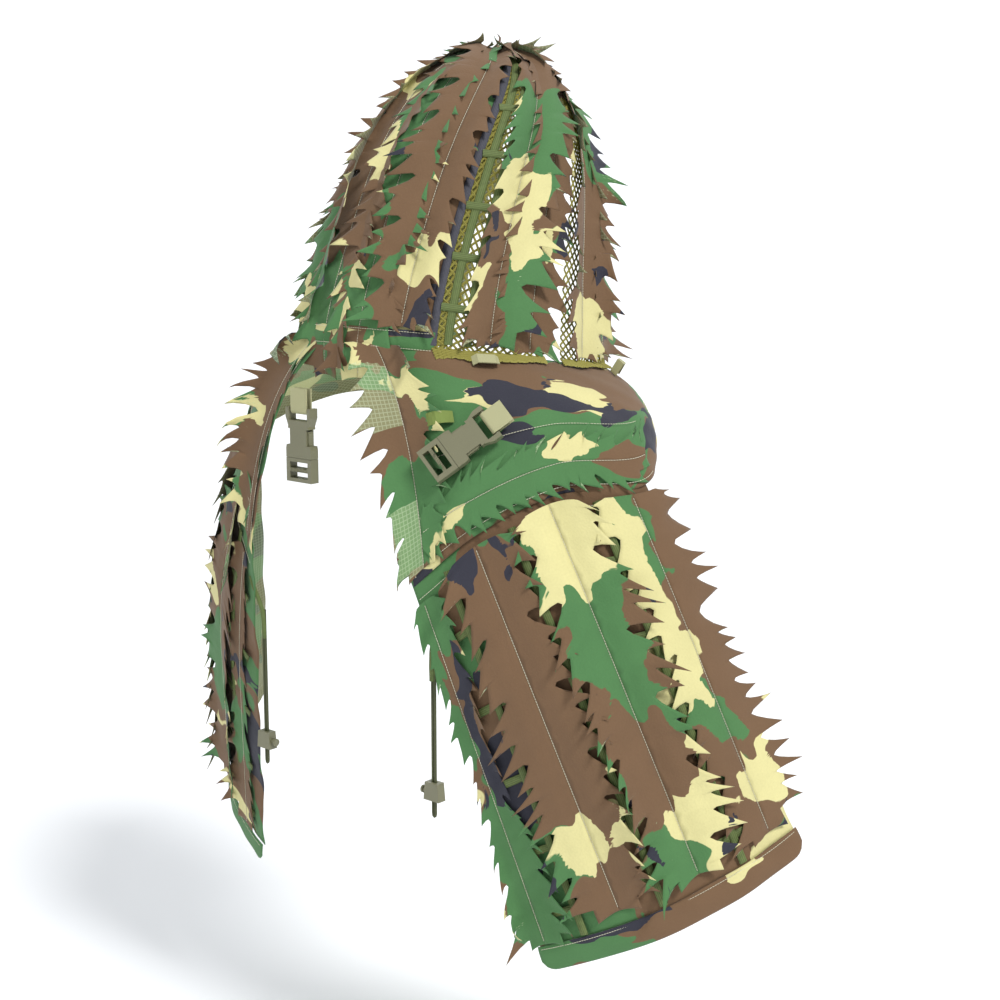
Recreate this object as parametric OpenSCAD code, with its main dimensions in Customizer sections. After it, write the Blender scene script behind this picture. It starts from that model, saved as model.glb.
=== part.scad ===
/* [Hood] */
// Half width of the hood's base ring, side to side
hood_a = 165; // [140:1:190]
// Height of the hood from the neck seam to the crown
hood_h = 335; // [300:1:360]
// How far the crown sits in front of the base ring's centre
hood_lean = 66; // [40:1:90]
// Thickness that stands in for one layer of cloth
cloth = 2; // [1:0.5:3]
// Gap between one layer and the layer sewn on it
ply = 0.4; // [0.2:0.1:1]
// Angle from the centre back to the seam of the mesh side
mesh_from = 37; // [30:1:42]
// Angle of the back edge of the ear slit
slit_from = 79; // [77:1:82]
// Angle of the front edge of the ear slit
slit_to = 86.5; // [85:0.5:88]
// Angle of the face opening's edge
face_at = 134; // [125:1:145]

/* [Shoulders] */
// Angle on the base ring where a shoulder cover's free back edge starts
yoke_from = 11; // [8:1:20]
// Angle on the base ring where a shoulder cover ends in front
yoke_to = 173; // [165:1:176]
// Share of a shoulder cover's width that carries the sleeve
seam_share = 0.6; // [0.5:0.05:0.7]

/* [Sleeves] */
// Gap left under the middle of the shoulder seam so that the sleeve can swing
seam_gap = 16; // [10:1:22]
// How far the sleeve's half tube bulges out
sleeve_bulge = 34; // [20:1:50]
// Height of the cuff's folded hem
cuff_h = 30; // [20:1:40]
// Half width of a sleeve's leaf strip, as a share of the sleeve's width
strip_half = 0.14; // [0.1:0.005:0.15]

/* [Buckles] */
// Webbing width
web_w = 25; // [20:1:30]
// Buckle width
buck_w = 39; // [36:1:44]
// Buckle thickness
buck_t = 11; // [9:0.5:13]
// Length of the socket from the bar to its mouth
sock_l = 52; // [46:1:58]
// Length of the plug's frame
frame_l = 26; // [22:1:30]

/* [Draw cords] */
// Cord diameter
cord_d = 3; // [2:0.5:4]
// How far the doubled cord hangs
cord_drop = 186; // [150:1:220]
// Cord lock width
lock_w = 22; // [20:1:24]
// Cord lock height
lock_h = 20; // [16:1:26]
// Cord lock depth
lock_t = 11; // [9:1:14]

/* [Hidden] */
// Height and half width of the hood's outline, from the base to the crown
prof_z = [[0, 0], [1, 40], [2, 90], [3, 140], [4, 190], [5, 232], [6, 266], [7, 294], [8, 315], [9, 329], [10, 335]];
prof_a = [[0, 165], [1, 160], [2, 151], [3, 141], [4, 129], [5, 114], [6, 97], [7, 76], [8, 53], [9, 28], [10, 7]];
depth_ratio = 1.1;
rows = 10;
// The base ring dips towards the front
ring_dip = 0.14;
ring_z0 = -6;

function hz(k) = lookup(k, prof_z) * hood_h / 335;
function ha(k) = lookup(k, prof_a) * hood_a / 165;
function hy(k) = -hood_lean * pow(hz(k) / hood_h, 1.25);
// A point on the hood: t is the angle from the centre back towards the wearer's right
function hood0(t, k) = [
  -ha(k) * sin(t),
  hy(k) + depth_ratio * ha(k) * cos(t),
  hz(k) + (ring_z0 + ring_dip * depth_ratio * ha(k) * cos(t)) * (1 - hz(k) / hood_h)
];
function unit(v) = v / norm(v);
function hood_n(t, k) = unit([
  -sin(t), cos(t), max(0, hz(k) - 150) / (ha(k) + 20) * 0.9
]);
// Seams and strips run forward as they rise, and meet at the front of the crown
sweep = 37;
function swept(t, k) = t + sweep * pow(min(k, 9.2) / 7.2, 2) * sin(t);
function hood(t, k, off) = let (w = swept(t, k)) hood0(w, k) + off * hood_n(w, k);

// Faces of a closed shell: grid A above grid B, nr rows of nc points
function quad(a, b, c, d) = [[a, b, c], [a, c, d]];
function back(a, b, c, d) = [[a, c, b], [a, d, c]];
function flat2(l) = [for (x = l) for (y = x) y];
function shell_faces(nr, nc) = let (n = nr * nc) flat2(concat(
  [for (i = [0:nr - 2]) for (j = [0:nc - 2])
    back(i * nc + j, i * nc + j + 1, (i + 1) * nc + j + 1, (i + 1) * nc + j)],
  [for (i = [0:nr - 2]) for (j = [0:nc - 2])
    back(n + (i + 1) * nc + j, n + (i + 1) * nc + j + 1, n + i * nc + j + 1, n + i * nc + j)],
  [for (j = [0:nc - 2]) back(n + j, n + j + 1, j + 1, j)],
  [for (j = [0:nc - 2]) back((nr - 1) * nc + j, (nr - 1) * nc + j + 1,
    n + (nr - 1) * nc + j + 1, n + (nr - 1) * nc + j)],
  [for (i = [0:nr - 2]) back(i * nc, (i + 1) * nc, n + (i + 1) * nc, n + i * nc)],
  [for (i = [0:nr - 2]) back(n + i * nc + nc - 1, n + (i + 1) * nc + nc - 1,
    (i + 1) * nc + nc - 1, i * nc + nc - 1)]
));
// A shell between an outer and an inner grid of points, given row by row
module shell(outer, inner, nr, nc) {
  polyhedron(points = concat(outer, inner), faces = shell_faces(nr, nc), convexity = 8);
}

// A patch of the hood from angle t0 to t1 and row k0 to k1, off0 to off1 from its surface
module hood_patch(t0, t1, k0, k1, off0, off1, nt, nk) {
  shell(
    [for (i = [0:nk]) for (j = [0:nt]) hood(t0 + (t1 - t0) * j / nt, k0 + (k1 - k0) * i / nk, off1)],
    [for (i = [0:nk]) for (j = [0:nt]) hood(t0 + (t1 - t0) * j / nt, k0 + (k1 - k0) * i / nk, off0)],
    nk + 1, nt + 1
  );
}

// Leaf strip columns: tips on even rows, notches on odd rows
function leaf_w(i, j) = abs(j) < 2 ? j * 0.55 : sign(j) * (i % 2 == 0 ? 1 : 0.62);
function leaf_drop(i, j) = abs(j) < 2 ? 0 : (i % 2 == 0 ? -0.32 : 0);
module hood_strip(t, half, k0, k1, n, lift) {
  off0 = cloth + ply + lift;
  shell(
    [for (i = [0:n]) for (j = [-2:2])
      let (k = k0 + (k1 - k0) * i / n)
      hood(t + half * leaf_w(i, j), max(0.05, k + leaf_drop(i, j)), off0 + cloth + (abs(j) == 2 ? 4 : 0))],
    [for (i = [0:n]) for (j = [-2:2])
      let (k = k0 + (k1 - k0) * i / n)
      hood(t + half * leaf_w(i, j), max(0.05, k + leaf_drop(i, j)), off0 + (abs(j) == 2 ? 3 : 0))],
    n + 1, 5
  );
}

// Right side as drawn; the left side is its mirror image
module left_side() {
  mirror([1, 0, 0]) children();
}

module hood_back_panel() {
  color([0.35, 0.42, 0.3])
    hood_patch(-mesh_from, mesh_from, 0.35, 9.6, 0, cloth, 8, 12);
}

module hood_mesh_right() {
  color([0.7, 0.68, 0.3])
    hood_patch(mesh_from + 0.3, slit_from, 0.35, 9.6, 0, cloth, 6, 12);
}

module hood_mesh_left() {
  left_side() hood_mesh_right();
}

module hood_face_panel_right() {
  color([0.45, 0.36, 0.28]) {
    hood_patch(slit_to, face_at, 0.35, 9.6, 0, cloth, 4, 12);
  }
}

module hood_face_panel_left() {
  left_side() hood_face_panel_right();
}

// The crown piece closes the top and carries the ear slits' upper ends
module hood_crown() {
  color([0.55, 0.6, 0.3])
    hood_patch(-face_at, face_at, 9.62, 10, 0, cloth, 28, 2);
}

module neck_band() {
  color([0.4, 0.42, 0.34])
    hood_patch(-face_at - 30, face_at + 30, 0.02, 0.34, -0.5, cloth + 0.5, 32, 1);
}

module seam_tape_right() {
  color([0.25, 0.25, 0.28])
    hood_patch(mesh_from - 2.2, mesh_from + 3.2, 0.36, 8.6, cloth + ply, cloth + ply + 1, 2, 14);
}

module seam_tape_left() {
  left_side() seam_tape_right();
}

module hood_ladder_right() {
  color([0.5, 0.58, 0.3]) {
    hood_patch(41.5, 44, 0.36, 8.9, cloth + 0.5, cloth + 1.7, 1, 14);
    for (k = [1.1, 2.2, 3.3, 4.5, 5.9])
      hood_patch(mesh_from + 3.6, slit_to + 3, k, k + 0.2, cloth + 1.1, cloth + 2.3, 12, 1);
  }
}

module hood_ladder_left() {
  left_side() hood_ladder_right();
}

// Leaf strips of the hood's right side, from the centre back forward
module hood_strip_1_right() {
  color([0.3, 0.45, 0.32]) hood_strip(8.8, 8.4, 0.6, 9.2, 18, 0);
}
module hood_strip_2_right() {
  color([0.42, 0.3, 0.24]) hood_strip(26, 8.4, 0.5, 9.2, 18, 0);
}
module hood_strip_3_right() {
  color([0.32, 0.5, 0.34]) hood_strip(52.5, 7.4, 0.5, 9.2, 18, 2.6);
}
module hood_strip_4_right() {
  color([0.45, 0.33, 0.26]) hood_strip(68.6, 8.2, 0.4, 9.2, 18, 2.6);
}
module hood_strip_5_right() {
  color([0.42, 0.3, 0.24]) hood_strip(97.5, 10.4, 0.4, 9.2, 18, 2.6);
}
module hood_strip_6_right() {
  color([0.3, 0.45, 0.32]) hood_strip(120, 11, 0.5, 9, 18, 2.6);
}
module hood_strip_6_left() { left_side() hood_strip_6_right(); }
module hood_strip_1_left() { left_side() hood_strip_1_right(); }
module hood_strip_2_left() { left_side() hood_strip_2_right(); }
module hood_strip_3_left() { left_side() hood_strip_3_right(); }
module hood_strip_4_left() { left_side() hood_strip_4_right(); }
module hood_strip_5_left() { left_side() hood_strip_5_right(); }

// Bottom edge of a shoulder cover, from its free back edge round to the front
edge_x = [[0, -127], [0.2, -185], [0.4, -246], [0.6, -304], [0.75, -252], [0.88, -180], [1, -62]];
edge_y = [[0, 205], [0.2, 172], [0.4, 112], [0.6, 35], [0.75, -48], [0.88, -122], [1, -190]];
edge_z = [[0, -230], [0.2, -172], [0.4, -130], [0.6, -120], [0.75, -82], [0.88, -72], [1, -72]];
function yoke_edge(c) = [lookup(c, edge_x), lookup(c, edge_y), lookup(c, edge_z)];
function yoke_top(c) = hood(yoke_from + (yoke_to - yoke_from) * c, 0.0, 0) - [0, 0, 1.2];
function bez(a, b, c, s) = (1 - s) * (1 - s) * a + 2 * s * (1 - s) * b + s * s * c;
function yoke_mid(c) = let (a = yoke_top(c), b = yoke_edge(c))
  [a.x + 0.82 * (b.x - a.x), a.y + 0.82 * (b.y - a.y), a.z + (c < 0.3 ? 0.28 : 0.2) * (b.z - a.z)];
function yoke0(c, s) = bez(yoke_top(c), yoke_mid(c), yoke_edge(c), s);
// Normal of a shoulder cover by differences, pointing outwards
function yoke_n(c, s) = let (
    c0 = max(0, c - 0.02), c1 = min(1, c + 0.02), s0 = max(0, s - 0.03), s1 = min(1, s + 0.03),
    u = yoke0(c1, s) - yoke0(c0, s), v = yoke0(c, s1) - yoke0(c, s0)
  ) unit(cross(v, u));
function yoke(c, s, off) = yoke0(c, s) + off * yoke_n(c, s);
module yoke_patch(c0, c1, s0, s1, off0, off1, nc, ns) {
  shell(
    [for (i = [0:ns]) for (j = [0:nc]) yoke(c0 + (c1 - c0) * j / nc, s1 + (s0 - s1) * i / ns, off1)],
    [for (i = [0:ns]) for (j = [0:nc]) yoke(c0 + (c1 - c0) * j / nc, s1 + (s0 - s1) * i / ns, off0)],
    ns + 1, nc + 1
  );
}

module yoke_right() {
  color([0.33, 0.46, 0.34]) yoke_patch(0, 1, 0, 1, -cloth / 2, cloth / 2, 20, 8);
}
module yoke_left() { left_side() yoke_right(); }

// Scalloped leaf trim over the sleeve seam
function scallop(j) = j % 2 == 0 ? 0 : 1;
function trim_s(i, j) = 0.72 + 0.045 * i + (i == 4 ? 0.07 * scallop(j) : 0) - (i == 0 ? 0.05 * scallop(j) : 0);
module yoke_trim_right() {
  n = 22;
  off = cloth / 2 + ply + 0.9;
  color([0.3, 0.5, 0.33])
    shell(
      [for (i = [4:-1:0]) for (j = [0:n]) yoke(0.05 + 0.55 * j / n, trim_s(i, j), off + cloth)],
      [for (i = [4:-1:0]) for (j = [0:n]) yoke(0.05 + 0.55 * j / n, trim_s(i, j), off)],
      5, n + 1
    );
}
module yoke_trim_left() { left_side() yoke_trim_right(); }

// Leaf strip hanging along the free back edge
module edge_strip_right() {
  n = 12;
  off = cloth / 2 + ply + 4;
  color([0.5, 0.62, 0.45])
    shell(
      [for (i = [0:n]) for (j = [0:2])
        yoke(0.004 + 0.03 * j, 0.96 - 0.64 * i / n, off + cloth) + edge_out(i, j)],
      [for (i = [0:n]) for (j = [0:2])
        yoke(0.004 + 0.03 * j, 0.96 - 0.64 * i / n, off) + edge_out(i, j)],
      n + 1, 3
    );
}
function edge_out(i, j) = j > 0 ? [0, 0, 0] : (i % 2 == 0 ? [17, 5, -12] : [8, 2, 0]);
module edge_strip_left() { left_side() edge_strip_right(); }

// Upper edge of the sleeve, from the back edge e = 0 to the front edge e = 1
function seam(e) = yoke_edge(seam_share * e) - [0, 0, 0.7 + seam_gap * 4 * e * (1 - e)];
cuff_back = [-231, 109, -658];
cuff_front = [-434, -79, -523];
hang_n = unit([-0.72, 0.69, 0]);
function bulge(r) = sleeve_bulge * sin(90 * min(1, 2.2 * r));
function sleeve0(e, r) = (1 - r) * seam(e) + r * (cuff_back + e * (cuff_front - cuff_back))
  + hang_n * (bulge(r) * 4 * e * (1 - e) + 12 * r * 4 * e * (1 - e));
function sleeve_n(e, r) = let (
    e0 = max(0, e - 0.04), e1 = min(1, e + 0.04), r0 = max(0, r - 0.03), r1 = min(1, r + 0.03),
    u = sleeve0(e1, r) - sleeve0(e0, r), v = sleeve0(e, r1) - sleeve0(e, r0)
  ) unit(cross(v, u));
function sleeve(e, r, off) = let (q = max(0, min(1, e)))
  sleeve0(q, r) + off * sleeve_n(q, r) + (e - q) * (sleeve0(1, r) - sleeve0(0, r));
module sleeve_patch(e0, e1, r0, r1, off0, off1, ne, nr) {
  shell(
    [for (i = [0:nr]) for (j = [0:ne]) sleeve(e0 + (e1 - e0) * j / ne, r1 + (r0 - r1) * i / nr, off1)],
    [for (i = [0:nr]) for (j = [0:ne]) sleeve(e0 + (e1 - e0) * j / ne, r1 + (r0 - r1) * i / nr, off0)],
    nr + 1, ne + 1
  );
}

module sleeve_right() {
  color([0.36, 0.4, 0.3]) sleeve_patch(0, 1, 0, 1 - 0.065, -cloth / 2, cloth / 2, 12, 12);
}
module sleeve_left() { left_side() sleeve_right(); }

module cuff_right() {
  color([0.42, 0.32, 0.25])
    sleeve_patch(0, 1, 1 - 0.0645, 1, -cloth / 2 - 0.5, cloth / 2 + 0.5, 12, 2);
}
module cuff_left() { left_side() cuff_right(); }

module sleeve_ladder_right() {
  off = cloth / 2 + ply;
  color([0.5, 0.58, 0.3]) {
    for (e = [0.175, 0.47, 0.78])
      sleeve_patch(e, e + 0.035, 0.09, 0.92, off, off + 1.2, 1, 12);
    for (r = [0.16, 0.34, 0.52, 0.7, 0.86])
      sleeve_patch(0.02, 0.98, r, r + 0.024, off + 0.6, off + 1.8, 14, 1);
  }
}
module sleeve_ladder_left() { left_side() sleeve_ladder_right(); }

module sleeve_strip(e, half, r0, r1, n) {
  off = cloth / 2 + 2 * ply + 1.8;
  shell(
    [for (i = [0:n]) for (j = [-2:2])
      let (r = r1 + (r0 - r1) * i / n)
      sleeve(e + half * leaf_w(i, j), min(r1, r - leaf_drop(i, j) * 0.1), off + cloth + (abs(j) == 2 ? 6 : 0))],
    [for (i = [0:n]) for (j = [-2:2])
      let (r = r1 + (r0 - r1) * i / n)
      sleeve(e + half * leaf_w(i, j), min(r1, r - leaf_drop(i, j) * 0.1), off + (abs(j) == 2 ? 5 : 0))],
    n + 1, 5
  );
}
module sleeve_strip_1_right() {
  color([0.2, 0.35, 0.27]) sleeve_strip(0.02, strip_half, 0.1, 0.93, 20);
}
module sleeve_strip_2_right() {
  color([0.42, 0.3, 0.24]) sleeve_strip(0.32, strip_half, 0.07, 0.93, 20);
}
module sleeve_strip_3_right() {
  color([0.35, 0.5, 0.34]) sleeve_strip(0.635, strip_half, 0.06, 0.93, 20);
}
module sleeve_strip_4_right() {
  color([0.75, 0.7, 0.48]) sleeve_strip(0.94, strip_half, 0.05, 0.93, 20);
}
module sleeve_strip_1_left() { left_side() sleeve_strip_1_right(); }
module sleeve_strip_2_left() { left_side() sleeve_strip_2_right(); }
module sleeve_strip_3_left() { left_side() sleeve_strip_3_right(); }
module sleeve_strip_4_left() { left_side() sleeve_strip_4_right(); }

// Side-release buckle, drawn along +X from the webbing bar, top side +Z
bar_r = 2.2;
module socket_body() {
  rotate([90, 0, 0]) cylinder(h = buck_w - 4, r = bar_r, center = true, $fn = 24);
  difference() {
    linear_extrude(height = buck_t, center = true)
      polygon([
        [-3, -buck_w / 2], [-3, -buck_w / 2 + 5], [11, -buck_w / 2 + 5], [11, buck_w / 2 - 5],
        [-3, buck_w / 2 - 5], [-3, buck_w / 2], [7, buck_w / 2], [17, buck_w / 2 - 4],
        [38, buck_w / 2 - 1], [42, buck_w / 2], [sock_l, buck_w / 2], [sock_l, -buck_w / 2],
        [42, -buck_w / 2], [38, -buck_w / 2 + 1], [17, -buck_w / 2 + 4], [7, -buck_w / 2]
      ]);
    translate([16, -15.2, -3.4]) cube([sock_l, 30.4, 6.8]);
    for (s = [-1, 1])
      translate([20, s * buck_w / 2 - 6.5, -buck_t]) cube([18, 13, 2 * buck_t]);
  }
}
// Prongs, guide rib and ladder frame
module plug_body() {
  x0 = sock_l + 0.4;
  difference() {
    translate([x0, -buck_w / 2, -buck_t / 2]) cube([frame_l, buck_w, buck_t]);
    translate([x0 + 4, -14, -buck_t]) cube([7, 28, 2 * buck_t]);
    translate([x0 + 15, -14, -buck_t]) cube([7, 28, 2 * buck_t]);
  }
  for (i = [0:10])
    translate([x0 + 11.5, -13 + i * 2.4, buck_t / 2 - 0.2]) cube([3, 1.3, 0.9]);
  for (s = [-1, 1]) {
    translate([24, s * 12.3 - 2.6, -3]) cube([x0 - 23, 5.2, 6]);
    translate([22, s * 12.3 - 1.6, -3]) cube([3, 3.2, 6]);
  }
  translate([34, -2, -3]) cube([x0 - 33, 4, 6]);
}

// Where each buckle's bar sits and how the buckle lies
right_bar = [-187, 152, -57];
right_turn = [-65, 36, 47];
left_bar = [37, 206, -58];
left_turn = [0, 90, 90];
module place_right() {
  translate(right_bar) rotate(right_turn) children();
}
module place_left() {
  translate(left_bar) rotate(left_turn) children();
}
module buckle_socket_right() { color([0.52, 0.5, 0.43]) place_right() socket_body(); }
module buckle_socket_left() { color([0.52, 0.5, 0.43]) place_left() socket_body(); }
module buckle_plug_right() { color([0.55, 0.53, 0.45]) place_right() plug_body(); }
module buckle_plug_left() { color([0.55, 0.53, 0.45]) place_left() plug_body(); }

// Webbing folded round the buckle's bar and sewn down behind it
module tab_loop(len) {
  rotate([90, 0, 0])
    linear_extrude(height = web_w, center = true)
      difference() {
        union() {
          circle(r = bar_r + 2, $fn = 32);
          translate([-len, -bar_r - 2]) square([len, 2 * bar_r + 4]);
        }
        circle(r = bar_r + 0.4, $fn = 32);
        translate([-len - 1, -bar_r - 0.4]) square([len + 1, 2 * bar_r + 0.8]);
      }
}
module tab_right() { color([0.7, 0.68, 0.54]) place_right() tab_loop(22); }
module tab_left() { color([0.7, 0.68, 0.54]) place_left() tab_loop(24); }

// Elastic keeper: a band sewn at both ends that stands off the cloth
module keeper(c0, c1, s0, s1) {
  n = 8;
  off = cloth / 2 + ply;
  shell(
    [for (i = [0:1]) for (j = [0:n])
      yoke(c0 + (c1 - c0) * j / n, (i == 0 ? s1 : s0), off + 1.2 + 10 * sin(180 * j / n))],
    [for (i = [0:1]) for (j = [0:n])
      yoke(c0 + (c1 - c0) * j / n, (i == 0 ? s1 : s0), off + 10 * sin(180 * j / n))],
    2, n + 1
  );
}
module keeper_right() { color([0.5, 0.58, 0.3]) keeper(0.09, 0.17, 0.42, 0.48); }

// Small webbing loops sewn below the neck seam
module web_loop(c0, c1, s0, s1, h) {
  n = 6;
  off = cloth / 2 + ply;
  shell(
    [for (i = [0:1]) for (j = [0:n])
      yoke(c0 + (c1 - c0) * j / n, (i == 0 ? s1 : s0), off + 1.4 + h * min(1, 3 * sin(180 * j / n)))],
    [for (i = [0:1]) for (j = [0:n])
      yoke(c0 + (c1 - c0) * j / n, (i == 0 ? s1 : s0), off + h * min(1, 3 * sin(180 * j / n)))],
    2, n + 1
  );
}
module loop_back_right() { color([0.7, 0.68, 0.54]) web_loop(0.24, 0.3, 0.06, 0.13, 5); }
module loop_back_left() { left_side() loop_back_right(); }
module loop_front_right() { color([0.7, 0.68, 0.54]) web_loop(0.66, 0.72, 0.12, 0.2, 14); }
module loop_front_left() { left_side() loop_front_right(); }

// Draw cord: one cord doubled through its lock, hanging from the sleeve's back edge
cord_top = [-134, 182, -300];
strand = 1.9;
lock_z = cord_top.z - cord_drop + 30;
// Route of the doubled cord: down one strand, round the bottom and up the other
route_x = [-strand, -strand, -strand, -strand, -strand * 0.8, 0, strand * 0.8, strand, strand, strand, strand];
route_z = [0, -60, -120, -180, -183, -185, -183, -180, -120, -60, 0];
ring_n = 8;
function cord_pt(i) = cord_top + [route_x[i], 0, route_z[i]];
function cord_dir(i) = let (a = cord_pt(max(0, i - 1)), b = cord_pt(min(len(route_x) - 1, i + 1))) unit(b - a);
function cord_ring(i) = let (d = cord_dir(i), u = [0, 1, 0], v = cross(d, u))
  [for (m = [0:ring_n - 1]) cord_pt(i) + cord_d / 2 * (u * cos(360 * m / ring_n) + v * sin(360 * m / ring_n))];
module cord_body() {
  n = len(route_x);
  pts = flat2([for (i = [0:n - 1]) cord_ring(i)]);
  polyhedron(
    points = pts,
    faces = concat(
      [[for (m = [0:ring_n - 1]) m]],
      [[for (m = [0:ring_n - 1]) (n - 1) * ring_n + ring_n - 1 - m]],
      flat2([for (i = [0:n - 2]) for (m = [0:ring_n - 1])
        quad(i * ring_n + m, (i + 1) * ring_n + m,
          (i + 1) * ring_n + (m + 1) % ring_n, i * ring_n + (m + 1) % ring_n)])
    ),
    convexity = 6
  );
}
module cord_right() { color([0.3, 0.33, 0.2]) cord_body(); }
module cord_left() { left_side() cord_right(); }

// Cord lock: a tapered body with a cross slot for the cord and a bore for the plunger
plunge_r = 3.2;
module lock_body() {
  translate([cord_top.x, cord_top.y, lock_z])
    difference() {
      rotate([90, 0, 0])
        linear_extrude(height = lock_t, center = true)
          polygon([
            [-lock_w / 2 + 2, lock_h / 2], [-lock_w / 2, -lock_h / 2],
            [lock_w / 2, -lock_h / 2], [lock_w / 2 - 2, lock_h / 2]
          ]);
      translate([-4, -1.95, -lock_h]) cube([8, 3.9, 2 * lock_h]);
      translate([-8.8, 0, -1]) rotate([0, 90, 0]) cylinder(h = lock_w, r = plunge_r + 0.3, $fn = 32);
    }
}
module plunger_body() {
  translate([cord_top.x, cord_top.y, lock_z - 1])
    difference() {
      union() {
        translate([-4.6, 0, 0]) rotate([0, 90, 0]) cylinder(h = 21, r = plunge_r, $fn = 32);
        translate([14.2, 0, 0]) rotate([0, 90, 0]) cylinder(h = 2.6, r = plunge_r + 1, $fn = 32);
      }
      translate([-3.95, -1.95, -10]) cube([11.6, 3.9, 20]);
    }
}
module cord_lock_right() { color([0.52, 0.5, 0.43]) lock_body(); }
module cord_lock_left() { left_side() cord_lock_right(); }
module lock_plunger_right() { color([0.5, 0.48, 0.4]) plunger_body(); }
module lock_plunger_left() { left_side() lock_plunger_right(); }

hood_back_panel();
hood_mesh_right();
hood_mesh_left();
hood_face_panel_right();
hood_face_panel_left();
hood_crown();
neck_band();
seam_tape_right();
seam_tape_left();
hood_ladder_right();
hood_ladder_left();
hood_strip_1_right();
hood_strip_2_right();
hood_strip_3_right();
hood_strip_4_right();
hood_strip_5_right();
hood_strip_1_left();
hood_strip_2_left();
hood_strip_3_left();
hood_strip_4_left();
hood_strip_5_left();
hood_strip_6_right();
hood_strip_6_left();
yoke_right();
yoke_left();
yoke_trim_right();
yoke_trim_left();
edge_strip_right();
edge_strip_left();
sleeve_right();
sleeve_left();
cuff_right();
cuff_left();
sleeve_ladder_right();
sleeve_ladder_left();
sleeve_strip_1_right();
sleeve_strip_2_right();
sleeve_strip_3_right();
sleeve_strip_4_right();
sleeve_strip_1_left();
sleeve_strip_2_left();
sleeve_strip_3_left();
sleeve_strip_4_left();
buckle_socket_right();
buckle_socket_left();
buckle_plug_right();
buckle_plug_left();
tab_right();
tab_left();
keeper_right();
loop_back_right();
loop_back_left();
loop_front_right();
loop_front_left();
cord_right();
cord_left();
cord_lock_right();
cord_lock_left();
lock_plunger_right();
lock_plunger_left();
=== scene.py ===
"""Looks of a leafy camouflage hood with shoulder covers and half sleeves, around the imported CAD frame.

Shapes are worked out in millimetres on the wearer's right side. The left side is their mirror image, and
points become metres when a mesh is made.
"""

import math

import bpy
import numpy as np
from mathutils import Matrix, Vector


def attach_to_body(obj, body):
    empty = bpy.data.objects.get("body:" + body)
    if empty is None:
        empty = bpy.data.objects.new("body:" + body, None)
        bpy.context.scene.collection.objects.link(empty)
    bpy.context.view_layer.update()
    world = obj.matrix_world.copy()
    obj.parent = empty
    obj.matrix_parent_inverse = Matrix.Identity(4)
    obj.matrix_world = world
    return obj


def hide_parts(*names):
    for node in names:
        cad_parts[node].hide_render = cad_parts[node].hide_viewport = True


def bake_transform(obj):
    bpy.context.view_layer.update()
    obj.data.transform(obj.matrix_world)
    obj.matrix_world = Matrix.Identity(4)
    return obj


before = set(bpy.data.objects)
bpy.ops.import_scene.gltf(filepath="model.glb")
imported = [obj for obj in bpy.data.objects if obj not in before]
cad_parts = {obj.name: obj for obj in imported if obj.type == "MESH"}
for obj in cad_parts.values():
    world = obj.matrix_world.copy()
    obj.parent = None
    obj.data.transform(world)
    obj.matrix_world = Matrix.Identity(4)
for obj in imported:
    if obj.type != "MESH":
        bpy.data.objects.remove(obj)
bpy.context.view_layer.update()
MM = 0.001
scene = bpy.context.scene


# ---------------------------------------------------------------- camera
VIEW_TURN, VIEW_RISE, VIEW_FAR = 221, 10.5, 2.0


def direction(turn, rise):
    """A unit vector, from degrees round from the front and degrees up."""
    a, e = math.radians(turn), math.radians(rise)
    return Vector((math.sin(a) * math.cos(e), -math.cos(a) * math.cos(e), math.sin(e)))


def set_camera():
    """A long lens behind the wearer's right shoulder, a little above the neck."""
    turn = math.radians(VIEW_TURN)
    back = direction(VIEW_TURN, VIEW_RISE)
    right = Vector((math.cos(turn), math.sin(turn), 0))
    up = back.cross(right)
    target = right * 0.052 - up * 0.178
    data = bpy.data.cameras.new("camera")
    data.lens, data.sensor_width, data.clip_end = 62.6, 36, 50
    cam = bpy.data.objects.new("camera", data)
    cam.location = target + back * VIEW_FAR
    cam.rotation_euler = back.to_track_quat("Z", "Y").to_euler()
    scene.collection.objects.link(cam)
    scene.camera = cam


set_camera()


# ---------------------------------------------------------------- shapes shared with the CAD
def smooth(xs, ys, x):
    """A smooth curve through given points, straight beyond both ends."""
    xs, ys, x = np.asarray(xs, float), np.asarray(ys, float), np.asarray(x, float)
    m = np.gradient(ys, xs)
    i = np.clip(np.searchsorted(xs, x) - 1, 0, len(xs) - 2)
    h = xs[i + 1] - xs[i]
    t = np.clip((x - xs[i]) / h, 0, 1)
    y = (
        (2 * t**3 - 3 * t**2 + 1) * ys[i]
        + (t**3 - 2 * t**2 + t) * h * m[i]
        + (-2 * t**3 + 3 * t**2) * ys[i + 1]
        + (t**3 - t**2) * h * m[i + 1]
    )
    y = y + np.where(x < xs[0], (x - xs[0]) * m[0], 0)
    return y + np.where(x > xs[-1], (x - xs[-1]) * m[-1], 0)


def unit(v):
    return v / np.maximum(np.linalg.norm(v, axis=-1, keepdims=True), 1e-9)


# The hood's profile: heights and half widths of eleven rows, from the neck to the crown
K = range(11)
PROF_Z = [0, 40, 90, 140, 190, 232, 266, 294, 315, 329, 335]
PROF_A = [165, 160, 151, 141, 129, 114, 97, 76, 53, 28, 7]
HOOD_H, LEAN, LEAN_POWER = 335.0, 66.0, 1.25
SWEEP, SWEEP_ROW, LAST_SWEPT = 37.0, 7.2, 9.2
DEPTH_RATIO, RING_Z, RING_DIP = 1.1, -6, 0.14
PAST_ROW = 30


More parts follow.
